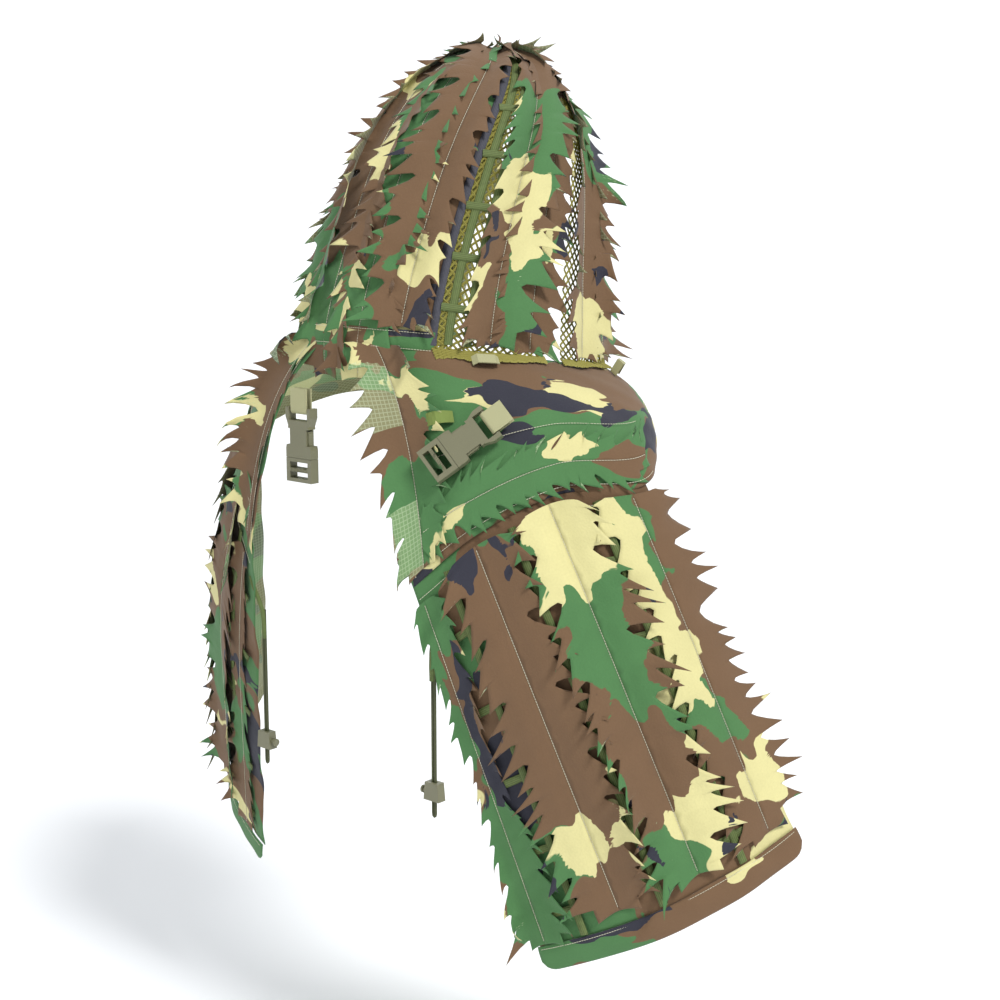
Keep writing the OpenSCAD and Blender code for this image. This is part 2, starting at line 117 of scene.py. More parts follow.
def hood(t, k):
    """Hood surface in mm: t degrees from the centre back towards the wearer's right, k row 0 to 10."""
    t, k = np.broadcast_arrays(np.asarray(t, float), np.asarray(k, float))
    kk = np.clip(k, 0, 10)
    w = np.radians(t + SWEEP * (np.minimum(kk, LAST_SWEPT) / SWEEP_ROW) ** 2 * np.sin(np.radians(t)))
    z = smooth(K, PROF_Z, kk)
    a = np.maximum(smooth(K, PROF_A, kk), 2)
    y = -LEAN * (np.maximum(z, 0) / HOOD_H) ** LEAN_POWER
    depth = DEPTH_RATIO * a * np.cos(w)
    base = (RING_Z + RING_DIP * depth) * (1 - z / HOOD_H)
    return np.stack([-a * np.sin(w), y + depth, z + base + (k - kk) * PAST_ROW], -1)


# The shoulder cover's lower edge, at places from its free back edge to the front
EDGE_C = [0, 0.2, 0.4, 0.6, 0.75, 0.88, 1]
EDGE_X = [-127, -185, -246, -304, -252, -180, -62]
EDGE_Y = [205, 172, 112, 35, -48, -122, -190]
EDGE_Z = [-230, -172, -130, -120, -82, -72, -72]
YOKE_FROM, YOKE_SPAN, YOKE_DROP = 11, 162, 1.2
YOKE_OUT, YOKE_FALL = 0.82, 0.28


def yoke_edge(c):
    return np.stack([smooth(EDGE_C, e, c) for e in (EDGE_X, EDGE_Y, EDGE_Z)], -1)


def yoke(c, s):
    """Right shoulder cover in mm: c from its free back edge to the front, s from the neck down."""
    c, s = np.broadcast_arrays(np.asarray(c, float), np.asarray(s, float))
    top = hood(YOKE_FROM + YOKE_SPAN * c, np.zeros_like(c)) - np.array([0, 0, YOKE_DROP])
    low = yoke_edge(c)
    mid = top + YOKE_OUT * (low - top)
    fall = YOKE_FALL - 0.08 * np.clip((c - 0.2) / 0.2, 0, 1)
    mid[..., 2] = top[..., 2] + fall * (low[..., 2] - top[..., 2])
    s = s[..., None]
    return (1 - s) ** 2 * top + 2 * s * (1 - s) * mid + s**2 * low


CUFF_BACK, CUFF_FRONT = np.array([-231.0, 109, -658]), np.array([-434.0, -79, -523])
HANG_N = unit(np.array([-0.72, 0.69, 0.0]))
SEAM_SPAN, SLEEVE_BULGE, CUFF_BULGE = 0.6, 34, 12


def sleeve(e, r):
    """Right sleeve panel in mm: e from its back edge to its front edge, r from the seam to the cuff."""
    e, r = np.broadcast_arrays(np.asarray(e, float), np.asarray(r, float))
    top = yoke_edge(SEAM_SPAN * e)
    top[..., 2] -= 2
    low = CUFF_BACK + e[..., None] * (CUFF_FRONT - CUFF_BACK)
    arch = 4 * e * (1 - e)
    bulge = SLEEVE_BULGE * np.sin(np.radians(90 * np.clip(2.2 * r, 0, 1))) + CUFF_BULGE * r
    r3 = r[..., None]
    return (1 - r3) * top + r3 * low + HANG_N * (arch * bulge)[..., None]


class Surface:
    """A surface in mm over two measures u and v, with its outward normal and its slopes."""

    def __init__(self, f, du, dv, turn_limit=1e9):
        self.f, self.du, self.dv, self.sign = f, du, dv, 1
        self.turn_limit = turn_limit

    def facing(self, u, v, outward):
        """Pick the normal's side so that it points outward at one place."""
        n = self.at(np.array(u), np.array(v))[1]
        if float(n @ np.array(outward)) < 0:
            self.sign = -1
        return self

    def at(self, u, v, off=0.0):
        """Points lifted by off, their normals, and the slopes along u and v."""
        du, dv = self.du, self.dv
        p = self.f(u, v)
        pu = (self.f(u + du, v) - self.f(u - du, v)) / (2 * du)
        pv = (self.f(u, v + dv) - self.f(u, v - dv)) / (2 * dv)
        n = unit(np.cross(pu, pv)) * self.sign
        return p + n * np.asarray(off)[..., None], n, pu, pv

    def point(self, u, v):
        return self.at(np.asarray(u, float), np.asarray(v, float))[0]


HOOD = Surface(hood, 0.5, 0.05, turn_limit=30.0).facing(0.0, 2.0, (0, 1, 0))
YOKE = Surface(yoke, 0.01, 0.02).facing(0.5, 0.5, (-1, 0, 0.3))
SLEEVE = Surface(sleeve, 0.01, 0.02).facing(0.5, 0.5, (-1, 1, 0))


# ---------------------------------------------------------------- materials
def lin(*rgb):
    """A linear colour from an everyday 0 to 255 one."""
    parts = [c / 255 for c in rgb]
    return tuple(c / 12.92 if c <= 0.04045 else ((c + 0.055) / 1.055) ** 2.4 for c in parts) + (1,)


class Nodes:
    """A small helper that adds shader nodes and links them."""

    def __init__(self, name):
        self.mat = bpy.data.materials.new(name)
        self.mat.use_nodes = True
        self.tree = self.mat.node_tree
        self.shader = self.tree.nodes["Principled BSDF"]

    def new(self, kind, inputs=None, **settings):
        n = self.tree.nodes.new("ShaderNode" + kind)
        for k, v in settings.items():
            setattr(n, k, v)
        for k, v in (inputs or {}).items():
            if isinstance(v, bpy.types.NodeSocket):
                self.tree.links.new(v, n.inputs[k])
            else:
                n.inputs[k].default_value = v
        return n

    def math(self, op, a, b=0.0, c=None):
        ins = {0: a, 1: b}
        if c is not None:
            ins[2] = c
        return self.new("Math", ins, operation=op).outputs[0]

    def mix(self, f, a, b, blend="MIX"):
        n = self.new("Mix", data_type="RGBA", blend_type=blend)
        for key, v in ((0, f), (6, a), (7, b)):
            if isinstance(v, bpy.types.NodeSocket):
                self.tree.links.new(v, n.inputs[key])
            else:
                n.inputs[key].default_value = v
        return n.outputs[2]

    def set(self, **values):
        for k, v in values.items():
            socket = self.shader.inputs[k.replace("_", " ")]
            if isinstance(v, bpy.types.NodeSocket):
                self.tree.links.new(v, socket)
            else:
                socket.default_value = v

    def bump(self, height, strength, distance):
        n = self.new("Bump", {"Strength": strength, "Distance": distance, "Height": height})
        self.tree.links.new(n.outputs[0], self.shader.inputs["Normal"])


BROWN, GREEN = lin(112, 86, 62), lin(76, 120, 72)
TAN, BLACK = lin(212, 204, 146), lin(50, 50, 60)


def camo(name, reverse=False):
    """Four-colour woodland print on flat cloth coordinates; paint leans each colour up or down."""
    n = Nodes(name)
    uv = n.new("UVMap", uv_map="cloth").outputs[0]
    paint = n.new("Attribute", attribute_name="paint").outputs["Color"]
    lean_green, lean_tan, lean_black = n.new("SeparateColor", {0: paint}).outputs[:3]
    wob = n.new("TexNoise", {"Vector": uv, "Scale": 24.0, "Detail": 0.6}).outputs["Color"]
    wob = n.new("VectorMath", {0: wob, 1: (0.5, 0.5, 0.5)}, operation="SUBTRACT").outputs[0]
    wob = n.new("VectorMath", {0: wob, "Scale": 0.06}, operation="SCALE").outputs[0]
    here = n.new("VectorMath", {0: uv, 1: wob}, operation="ADD").outputs[0]

    def blobs(shift, stretch, scale, lean, level, twigs=False):
        v = n.new("Mapping", {"Vector": here, "Location": shift, "Scale": stretch}).outputs[0]
        grain = {"Vector": v, "Scale": scale, "Detail": 1.0, "Roughness": 0.45}
        f = n.new("TexNoise", grain).outputs["Fac"]
        if twigs:
            ridge = n.math("ABSOLUTE", n.math("SUBTRACT", f, 0.5))
            w = n.new("TexNoise", {"Vector": v, "Scale": scale * 1.7, "Detail": 1.0}).outputs["Fac"]
            f = n.math("MULTIPLY_ADD", w, 1.1, n.math("MULTIPLY_ADD", ridge, -2.2, 0.07))
        f = n.math("MULTIPLY_ADD", n.math("SUBTRACT", lean, 0.5), 0.75, f)
        edge = {"Value": f, "From Min": level - 0.004, "From Max": level + 0.004}
        return n.new("MapRange", edge, clamp=True).outputs[0]

    green = blobs((3.1, 1.7, 0), (1, 1.2, 1), 9.0, lean_green, 0.54)
    tan = blobs((7.3, 4.9, 0), (1.1, 0.9, 1), 9.5, lean_tan, 0.60)
    black = blobs((1.9, 9.2, 0), (0.8, 1.4, 1), 9.0, lean_black, 0.66, twigs=True)
    col = n.mix(green, BROWN, GREEN)
    col = n.mix(tan, col, TAN)
    col = n.mix(black, col, BLACK)
    fine = n.new("TexNoise", {"Vector": uv, "Scale": 420.0, "Detail": 2.0}).outputs["Fac"]
    wide = n.new("TexNoise", {"Vector": uv, "Scale": 30.0, "Detail": 2.0}).outputs["Fac"]
    if reverse:
        col = ripstop(n, uv, col)
    shade = n.math("MULTIPLY_ADD", fine, 0.13, n.math("MULTIPLY_ADD", wide, 0.16, 0.84))
    tint = n.new("CombineColor", {0: shade, 1: shade, 2: shade}).outputs[0]
    n.set(Base_Color=n.mix(1.0, col, tint, "MULTIPLY"), Roughness=0.82)
    n.set(Sheen_Weight=0.12, Sheen_Roughness=0.5, Specular_IOR_Level=0.25)
    n.bump(n.math("MULTIPLY_ADD", wide, 5.0, fine), 0.5, 0.0006)
    return n.mat


def ripstop(n, uv, col):
    """The paler back of the print, with a fine grid of thicker threads."""
    x, y = (n.new("SeparateXYZ", {0: uv}).outputs[i] for i in (0, 1))
    lines = [n.math("LESS_THAN", n.math("FRACT", n.math("MULTIPLY", q, 230.0)), 0.2) for q in (x, y)]
    grid = n.math("MAXIMUM", lines[0], lines[1])
    pale = n.mix(0.34, col, lin(170, 190, 140))
    return n.mix(n.math("MULTIPLY", grid, 0.22), pale, lin(226, 240, 205))


def woven(name, colour, darker_tone_and_groove_shade, across, along):
    """Ribbed or woven tape: stripes run along the band, picks across it, with painted shade in the grooves
    between them and a random darker yarn tone.
    """
    n = Nodes(name)
    uv = n.new("UVMap", uv_map="cloth").outputs[0]
    x, y = (n.new("SeparateXYZ", {0: uv}).outputs[i] for i in (0, 1))
    a = n.math("SINE", n.math("MULTIPLY", x, along * 2 * math.pi))
    b = n.math("SINE", n.math("MULTIPLY", y, across * 2 * math.pi))
    h = n.math("MULTIPLY_ADD", n.math("ADD", n.math("MULTIPLY", b, 0.3), a), 0.3, 0.5)
    noise = n.new("TexNoise", {"Vector": uv, "Scale": 240.0, "Detail": 2.0}).outputs["Fac"]
    # painted shade: the colour goes towards the darker one where the rib height h is low, in the grooves;
    # the noise adds random yarn tone
    f = n.math("MULTIPLY_ADD", noise, 0.5, n.math("MULTIPLY_ADD", h, 0.7, -0.1))
    n.set(Base_Color=n.mix(f, darker_tone_and_groove_shade, colour), Roughness=0.75)
    n.bump(h, 0.4, 0.0005)
    return n.mat


def plain(name, colour, rough, grain=0.0):
    """A nearly even colour, with a fine bump where grain is above zero."""
    n = Nodes(name)
    noise = n.new("TexNoise", {"Scale": 60.0, "Detail": 3.0}).outputs["Fac"]
    soft = tuple(c * 0.86 for c in colour[:3]) + (1,)
    n.set(Base_Color=n.mix(noise, soft, colour), Roughness=rough)
    if grain:
        fine = n.new("TexNoise", {"Scale": 2400.0, "Detail": 1.0}).outputs["Fac"]
        n.bump(fine, grain, 0.0003)
    return n.mat


FACE, BACK = camo("camo_face"), camo("camo_reverse", reverse=True)
# each tape's second colour is its painted groove shade and its random darker yarn tone
ELASTIC = woven("elastic", lin(112, 128, 70), lin(62, 74, 34), 900, 480)
TAPE = woven("seam_tape", lin(84, 84, 94), lin(46, 46, 54), 600, 600)
NET = plain("netting", lin(150, 143, 66), 0.75)
THREAD = plain("thread", lin(226, 222, 196), 0.7)
PLASTIC = plain("moulded_plastic", lin(120, 118, 92), 0.36, grain=0.3)
DARK_CORD = plain("cord", lin(74, 78, 48), 0.7)
WEBBING = plain("webbing_plain", lin(176, 174, 132), 0.8, grain=0.6)
KEEPER = plain("elastic_plain", lin(120, 138, 66), 0.8, grain=0.4)


def both(build):
    """Run a builder for the wearer's right side, then for the left."""
    for left, side in ((False, "right"), (True, "left")):
        build(left, side)


def attach(ob, body):
    """Sleeve cloth stays where it is made, with no parent; the rest rides on its body."""
    if body.startswith("sleeve"):
        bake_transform(ob)
    else:
        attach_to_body(ob, body)


# ---------------------------------------------------------------- draw cords
CORD_TOP, DROP, STRAND = np.array([-134.0, 182, -300]), 185.0, 1.9


def draw_cord(left, side):
    """One cord doubled through its lock: down one strand, round the bottom and up the other."""
    pts = [(-STRAND, 0, z) for z in np.linspace(0, -DROP + 4, 9)]
    pts += [(-STRAND * 0.7, 0, -DROP + 1), (0, 0, -DROP), (STRAND * 0.7, 0, -DROP + 1)]
    pts += [(STRAND, 0, z) for z in np.linspace(-DROP + 4, 0, 9)]
    mirror = np.array([-1 if left else 1, 1, 1])
    pts = (CORD_TOP + np.array(pts)) * mirror * MM
    cu = bpy.data.curves.new("cord_" + side, "CURVE")
    cu.dimensions, cu.bevel_depth, cu.bevel_resolution, cu.use_fill_caps = "3D", 0.0015, 3, True
    sp = cu.splines.new("POLY")
    sp.points.add(len(pts) - 1)
    for q, p in zip(sp.points, pts):
        q.co = (*p, 1)
    cu.materials.append(DARK_CORD)
    ob = bpy.data.objects.new("draw_cord_" + side, cu)
    scene.collection.objects.link(ob)
    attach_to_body(ob, "sleeve_" + side)
    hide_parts("cord_" + side)


both(draw_cord)


# ---------------------------------------------------------------- mesh building
def add(name, slot_name, verts, faces, mats, uv=None, paint=None, which=None, left=False, rounded=True):
    """A mesh object from points and cloth coordinates in mm; which is each face's material."""
    name = name + "_cloth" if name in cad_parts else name
    verts = np.asarray(verts, float).reshape(-1, 3) * MM
    faces = np.asarray(faces, int)
    if left:
        verts = verts * [-1, 1, 1]
        faces = faces[:, ::-1]
    me = bpy.data.meshes.new(name)
    me.from_pydata(verts.tolist(), [], faces.tolist())
    for m in mats:
        me.materials.append(m)
    loops = faces.ravel()
    if uv is not None:
        layer = me.uv_layers.new(name="cloth")
        layer.data.foreach_set("uv", (np.asarray(uv, float).reshape(-1, 2) * MM)[loops].ravel())
    if paint is not None:
        att = me.color_attributes.new("paint", "FLOAT_COLOR", "POINT")
        rgba = np.ones((len(verts), 4))
        rgba[:, :3] = np.asarray(paint, float).reshape(-1, 3)
        att.data.foreach_set("color", rgba.ravel())
    if which is not None:
        me.polygons.foreach_set("material_index", np.asarray(which, np.int32))
    me.polygons.foreach_set("use_smooth", np.full(len(me.polygons), rounded))
    me.update()
    ob = bpy.data.objects.new(name, me)
    scene.collection.objects.link(ob)
    return ob


def grid_faces(nr, nc):
    """The four-sided faces of a grid of points, nr rows by nc columns."""
    i, j = np.meshgrid(np.arange(nr - 1), np.arange(nc - 1), indexing="ij")
    a = (i * nc + j).ravel()
    return np.stack([a, a + 1, a + nc + 1, a + nc], -1)


def wound_wrong(p, n, faces):
    """True if the faces' own normals point against the surface's."""
    v = p.reshape(-1, 3)[faces]
    own = np.cross(v[:, 1] - v[:, 0], v[:, 2] - v[:, 0])
    return float((own * n.reshape(-1, 3)[faces[:, 0]]).sum()) < 0


def rim_faces(faces, count):
    """Faces that close the gap between a cloth's face and its reverse, count points further on."""
    edges = {}
    for a, b in np.concatenate([faces[:, [k, (k + 1) % 4]] for k in range(4)]):
        if (b, a) in edges:
            del edges[(b, a)]
        else:
            edges[(a, b)] = True
    return np.array([[b, a, a + count, b + count] for a, b in edges])


def cloth_mesh(name, slot_name, p, n, faces, uv, paint, thick, left, turned=None):
    """A cloth with a printed face, a paler reverse and a rim. Turned faces have the two swapped."""
    if turned is None:
        turned = np.zeros(len(faces), bool)
    rim = rim_faces(faces, len(p))
    pts = np.concatenate([p, p - n * thick])
    skin = np.concatenate([faces, faces[:, ::-1] + len(p), rim])
    which = np.concatenate([turned, ~turned, np.zeros(len(rim), bool)])
    uv, paint = np.concatenate([uv] * 2), np.concatenate([paint] * 2)
    ob = add(name, slot_name, pts, skin, [FACE, BACK], uv, paint, which, left)
    ob["flat_mm2"] = float(area_of(p, faces))
    return ob


def area_of(v, f):
    a, b, c, d = (v[f[:, k]] for k in range(4))
    halves = [np.linalg.norm(np.cross(q - a, s - a), axis=1) for q, s in ((b, c), (c, d))]
    return (halves[0] + halves[1]).sum() / 2


LEANS = {
    # how far each painted colour leans towards green, tan and black
    "brown": (0.1, 0.1, 0.1),
    "green": (0.9, 0.1, 0.1),
    "tan": (0.5, 0.9, 0.1),
    "black": (0.5, 0.5, 0.9),
}


def paint_at(l, a, spots):
    """Leanings of green, tan and black over a cloth, from listed spots.

    A spot is (colour, place along, place across, reach, how strongly).
    """
    out = np.full(l.shape + (3,), 0.5)
    l = l + 0.022 * np.sin(31 * a + 19 * l) + 0.012 * np.sin(57 * a - 43 * l + 2)
    a = a + 0.030 * np.sin(37 * l + 9 * a + 1) + 0.014 * np.sin(83 * l - 21 * a)
    for colour, l0, a0, reach, strong in spots:
        d = np.sqrt((l - l0) ** 2 + (0.8 * (a - a0)) ** 2)
        w = np.clip((1.4 - d / reach) / 0.95, 0, 1)[..., None]
        out = out + w * strong * (np.array(LEANS[colour]) - out)
    return out


def prisms(pa, pb, na, nb, r):
    """Three-sided strands between pairs of points."""
    d = unit(pb - pa)
    sa, sb = unit(np.cross(d, na)), unit(np.cross(d, nb))
    ring = [(1, -0.3), (-1, -0.3), (0, 0.8)]
    va = [pa + r * (x * sa + y * na) for x, y in ring]
    vb = [pb + r * (x * sb + y * nb) for x, y in ring]
    verts = np.stack(va + vb, 1).reshape(-1, 3)
    base = (np.arange(len(pa)) * 6)[:, None, None]
    quads = np.array([[0, 1, 4, 3], [1, 2, 5, 4], [2, 0, 3, 5]])[None]
    return verts, (base + quads).reshape(-1, 4)


# ---------------------------------------------------------------- stitch lines, sewn at the end
STITCHES = {}
STITCH, THREAD_R = 3, 0.36  # pitch and radius in mm


def stitch_line(body, p, n, left):
    """Note a line of stitches: points one stitch apart and their normals."""
    m = [-1, 1, 1] if left else [1, 1, 1]
    STITCHES.setdefault(body, []).append((p * m, n * m))


# ---------------------------------------------------------------- leaf strips
FINGERS = (2, 5)  # the fewest in a cluster, and one more than the most
CURL_FADE = 0.2  # the part of a strip, from its top, that curls more
# Steps across the gap between two tips, and the place of its lowest point
GAP_STEPS = [0, 0.07, 0.18, 0.32, 0.48, 0.64, 0.8, 0.92]
GAP_LOW = 0.45


def edge_points(length, width, rng, pitch):
    """One edge of a strip: clusters of fingers with bare stretches between.

    Each tip is (place, reach, sweep); each low is the reach of the gap after it.
    """
    tips, lows, l = [], [], float(rng.uniform(2, 10))
    while l < length - 3:
        fingers = int(rng.integers(*FINGERS))
        step = pitch * rng.uniform(0.24, 0.30)
        tall = rng.uniform(0.92, 1.2)
        peak = rng.uniform(0.35, 0.75)
        for i in range(fingers):
            x = i / (fingers - 1)
            reach = width * (tall - 0.34 * abs(x - peak) * rng.uniform(0.6, 1.4))
            tips.append((l, max(reach, 0.8 * width), 6 + 14 * x + rng.uniform(-4, 6)))
            lows.append(width * rng.uniform(0.56, 0.68))
            l += step * rng.uniform(0.8, 1.2)
        lows[-1] = width * rng.uniform(0.38, 0.54)
        l += pitch * rng.uniform(0.18, 0.42)
    return tips, lows


def strip_rows(length, width, rng, pitch, curl):
    """Rows of one edge of a strip: place, reach, sweep and curl."""
    tips, lows = edge_points(length, width, rng, pitch)
    ends = (0.0, width * 0.45, 2.0), (length, width * 0.4, 5.0)
    tips = [ends[0]] + [q for q in tips if q[0] < length - 3] + [ends[1]]
    lows = [width * 0.5] + lows
    curls, hold = [], 0
    for l, _, _ in tips:
        if hold == 0:
            hold = int(rng.integers(*FINGERS))
            now = rng.uniform(*curl) * (2.2 if rng.uniform() < 0.28 else 1.0)
        hold -= 1
        near_top = max(0, 1 - l / (CURL_FADE * length))
        curls.append(now * rng.uniform(0.8, 1.25) * (1 + 0.9 * near_top))
    rows = []
    for i, low in enumerate(lows[: len(tips) - 1]):
        (l0, w0, d0), (l1, w1, d1) = tips[i], tips[i + 1]
        for x in GAP_STEPS:
            y = (1 - x / GAP_LOW) if x < GAP_LOW else (x - GAP_LOW) / (1 - GAP_LOW)
            w, d = (w0, d0) if x < GAP_LOW else (w1, d1)
            s = y**1.55
            c = curls[i] + (curls[i + 1] - curls[i]) * (3 * x * x - 2 * x**3)
            rows.append((l0 + (l1 - l0) * x, min(low, w) + (w - min(low, w)) * s, d * s, c))
    rows.append((*tips[-1], curls[-1]))
    return np.array(rows).T


def along(surf, path, samples=160):
    """Length along a path of surface places, in mm, and the places."""
    q = np.linspace(0, 1, samples)
    u, v = path(q)
    p = surf.point(u, v)
    seg = np.linalg.norm(np.diff(p, axis=0), axis=1)
    return np.concatenate([[0], np.cumsum(seg)]), u, v


LEAF_THICK = 0.5
SEWN, SEAM_LIFT, RISE = 10.0, 1.6, 22  # flat beside the seam, height there, and width of the slope up
STITCH_LIFT = 1.95
COLUMNS = np.linspace(0, 1, 9)


def half_strip(surf, line, rows, side, lift, seed):
    """Half a strip, from its seam to its leaf tips: points, normals, and flat places along and across."""
    dist, us, vs = line
    l, w, sweep, curl = (q[:, None] for q in rows)
    run, across = l + sweep * COLUMNS**2, w * COLUMNS
    bend, curl = np.maximum(across - SEWN, 0), curl * 0.001
    out = np.minimum(across, SEWN) + np.sin(curl * bend) / curl
    rise = (1 - np.cos(curl * bend)) / curl
    rise = rise + 1.2 * np.sin(run / 17 + seed) * COLUMNS**2
    rise = rise + 1.0 * np.sin(run / 9 + 2 * seed + side) * COLUMNS**2
    past_end = (run - dist[-1]).clip(0)
    u = np.interp(run, dist, us)
    v = np.interp(run, dist, vs) + past_end * (vs[-1] - vs[-4]) / max(dist[-1] - dist[-4], 1e-6)
    stretch = np.linalg.norm(surf.at(u, v)[2], axis=-1)
    turn = np.minimum(out / stretch, surf.turn_limit)
    ease = np.clip(across / RISE, 0, 1)
    base = SEAM_LIFT + (lift - SEAM_LIFT) * ease**2 * (3 - 2 * ease)
    p, n, pu, _ = surf.at(u + side * turn, v, base + rise)
    p = p + (side * (out - turn * stretch))[..., None] * unit(pu)
    return p, n, run, side * across


def vertex_normals(p, faces, fallback):
    v = p[faces]
    own = np.cross(v[:, 1] - v[:, 0], v[:, 3] - v[:, 0])
    total = np.zeros_like(p)
    for k in range(4):
        np.add.at(total, faces[:, k], own)
    return unit(total + 1e-6 * fallback)


def leaf_strip(
    name, body, surf, path, width, seed, lift, curls, spots, left, gap, taper=(1.0, 1.0, 1.0), flip=False
):
    """One leaf strip sewn down its centre line.

    Each pair is for the two edges, the wearer's left one first: half widths in mm, and the least and
    most bend in rad/m. Taper scales the width at the top, middle and bottom, gap is the pitch of the leaf
    clusters, and flip turns some leaves of the first edge over.
    """
    rng = np.random.default_rng(seed)
    line = along(surf, path)
    dist, us, vs = line
    length = dist[-1]
    shift = rng.uniform(0, 4000, 2)
    halves, faces, turned, start = [], [], [], 0
    for side, curl, own in ((-1, curls[0], width[0]), (1, curls[1], width[1])):
        rows = strip_rows(length, own, rng, gap, curl)
        rows[1] *= np.interp(rows[0] / length, [0, 0.5, 1], taper)
        half = half_strip(surf, line, rows, side, lift, seed)
        p, n, run, _ = half
        f = grid_faces(len(run), len(COLUMNS))
        turned.append((np.sin(run.reshape(-1)[f[:, 0]] / 24 + seed) > 0.1) & (side < 0) & flip)
        faces.append((f[:, ::-1] if wound_wrong(p, n, f) else f) + start)
        halves.append([p.reshape(-1, 3), n.reshape(-1, 3), run.ravel(), half[3].ravel()])
        start += run.size
    p, n, run, across = (np.concatenate(q) for q in zip(*halves))
    faces, turned = np.concatenate(faces), np.concatenate(turned)
    uv = np.stack([run + shift[0], across + shift[1]], -1)
    paint = paint_at(run / length, across / max(width) * 0.3, spots)
    n = vertex_normals(p, faces, n)
    ob = cloth_mesh(name, "leaf_cloth", p, n, faces, uv, paint, LEAF_THICK, left, turned)
    q = np.linspace(0.01, 0.99, max(2, int(length / STITCH)))
    c, n, _, _ = surf.at(np.interp(q * length, dist, us), np.interp(q * length, dist, vs), STITCH_LIFT)
    stitch_line(body, c, n, left)
    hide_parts(name)
    attach(ob, body)


def wrinkle(p, size, seed):
    """Gentle unevenness of a cloth, in mm, from a few waves across it."""
    rng = np.random.default_rng(seed)
    out = np.zeros(p.shape[:-1])
    for wave in (90, 55, 34):
        d = unit(rng.normal(size=3))
        out = out + size * wave / 90 * np.sin(p @ d / wave * 2 * math.pi + rng.uniform(0, 6))
    return out


PANEL_THICK = 0.6


def panel(
    name, body, surf, u, v, spots, off=0.0, wave=0.8, left=False, seed=1,
    lower=None, extra=None, tall=1.0,
):
    """A cloth panel over a range of a surface, (from, to, points) along u and v.

    Off is its lift and wave its unevenness, in mm. Lower shapes its bottom edge, extra adds lift, and tall
    is how far its paint spots reach down it.
    """
    uu, vv = np.meshgrid(np.linspace(*u), np.linspace(*v), indexing="ij")
    if lower is not None:
        vv = v[0] + (vv - v[0]) * lower(uu)
    p0 = surf.point(uu, vv)
    lift = off + wrinkle(p0 * ([-1, 1, 1] if left else [1, 1, 1]), wave, seed)
    if extra is not None:
        lift = lift + extra(uu, vv)
    p, n, _, _ = surf.at(uu, vv, lift)
    du = np.linalg.norm(np.diff(p, axis=0), axis=-1).mean(1)
    dv = np.linalg.norm(np.diff(p, axis=1), axis=-1)
    x = np.concatenate([[0], np.cumsum(du)])[:, None] + 0 * uu
    y = np.concatenate([np.zeros((len(uu), 1)), np.cumsum(dv, axis=1)], axis=1)
    shift = np.random.default_rng(seed + (7 if left else 0)).uniform(0, 4000, 2)
    uv = np.stack([x + shift[0], y + shift[1]], -1).reshape(-1, 2)
    paint = paint_at(tall * (vv - v[0]) / (v[1] - v[0]), (uu - u[0]) / (u[1] - u[0]), spots)
    faces = grid_faces(u[2], v[2])
    if wound_wrong(p, n, faces):
        faces = faces[:, ::-1]
    p, n, paint = (q.reshape(-1, 3) for q in (p, n, paint))
    ob = cloth_mesh(name, "camo_cloth", p, n, faces, uv, paint, PANEL_THICK, left)
    attach(ob, body)
    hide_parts(name)


# ---------------------------------------------------------------- hood
panel(
    "hood_back_panel", "suit", HOOD, (-37, 37, 60), (0, 9.4, 100),
    [("green", 0.9, 0.7, 0.25, 1), ("brown", 0.6, 0.5, 0.3, 1), ("tan", 0.97, 0.4, 0.12, 1)], seed=3,
)
panel(
    "hood_crown", "suit", HOOD, (-180, 180, 73), (9.25, 10, 12),
    [("brown", 0.5, 0.5, 0.8, 1)], off=0.8, wave=0.0, seed=5,
)
NECK_SPOTS = [
    ("green", 0.2, 0.15, 0.2, 1), ("tan", 0.8, 0.45, 0.15, 1), ("brown", 0.5, 0.75, 0.2, 1),
    ("green", 0.5, 0.95, 0.2, 1),
]
panel(
    "neck_band", "suit", HOOD, (-38, 38, 60), (-0.25, 0.42, 12), NECK_SPOTS, off=2.2, wave=0.5, seed=8,
)


NET_FALL = 0.094  # how far down the shoulder cover one row below the neck reaches


def net(t, k):
    """The hood's surface, carrying on over the shoulder cover below the neck."""
    t, k = np.broadcast_arrays(np.asarray(t, float), np.asarray(k, float))
    p = hood(t, np.maximum(k, 0))
    q = yoke((t - YOKE_FROM) / YOKE_SPAN, np.clip(-k, 0, 1) * NET_FALL)
    return np.where((k < 0)[..., None], q + [0, 0, YOKE_DROP], p)


NETTING = Surface(net, 0.5, 0.02).facing(0.0, 2.0, (0, 1, 0))
NET_WIDE, NET_TALL, NET_STRAND, NET_LIFT = 4.2, 4.4, 1.3, 0.6
DEGREE_MM, ROW_MM = 2.75, 41  # the hood's surface to one degree round it and to one row up it


def netting(name, node, t0, t1, k0, k1, left, wave):
    """Diamond netting of real strands over a patch, its lower edge scalloped."""
    nu = int(round((t1 - t0) * DEGREE_MM / NET_WIDE))
    nv = int(round((k1 - k0) * ROW_MM / NET_TALL))
    i, j = np.meshgrid(np.arange(nu + 1), np.arange(nv + 1), indexing="ij")
    t = t0 + (t1 - t0) * i / nu
    low = k0 + wave * np.sin(t * 0.19) + 0.5 * wave * np.sin(t * 0.43 + 1)
    k = low + (k1 - low) * j / nv
    p, n, _, _ = NETTING.at(t, k, NET_LIFT)
    strands = []
    for a, b in (((0, 0), (1, 1)), ((1, 0), (0, 1))):
        sa = (slice(a[0], nu + a[0]), slice(a[1], nv + a[1]))
        sb = (slice(b[0], nu + b[0]), slice(b[1], nv + b[1]))
        keep = ((i[sa] + j[sa]) % 2 == 0).ravel()
        strands.append([q.reshape(-1, 3)[keep] for q in (p[sa], p[sb], n[sa], n[sb])])
    verts, faces = prisms(*(np.concatenate(q) for q in zip(*strands)), NET_STRAND)
    ob = add(name, "netting", verts, faces, [NET], left=left, rounded=False)
    attach(ob, "suit")
    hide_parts(node)


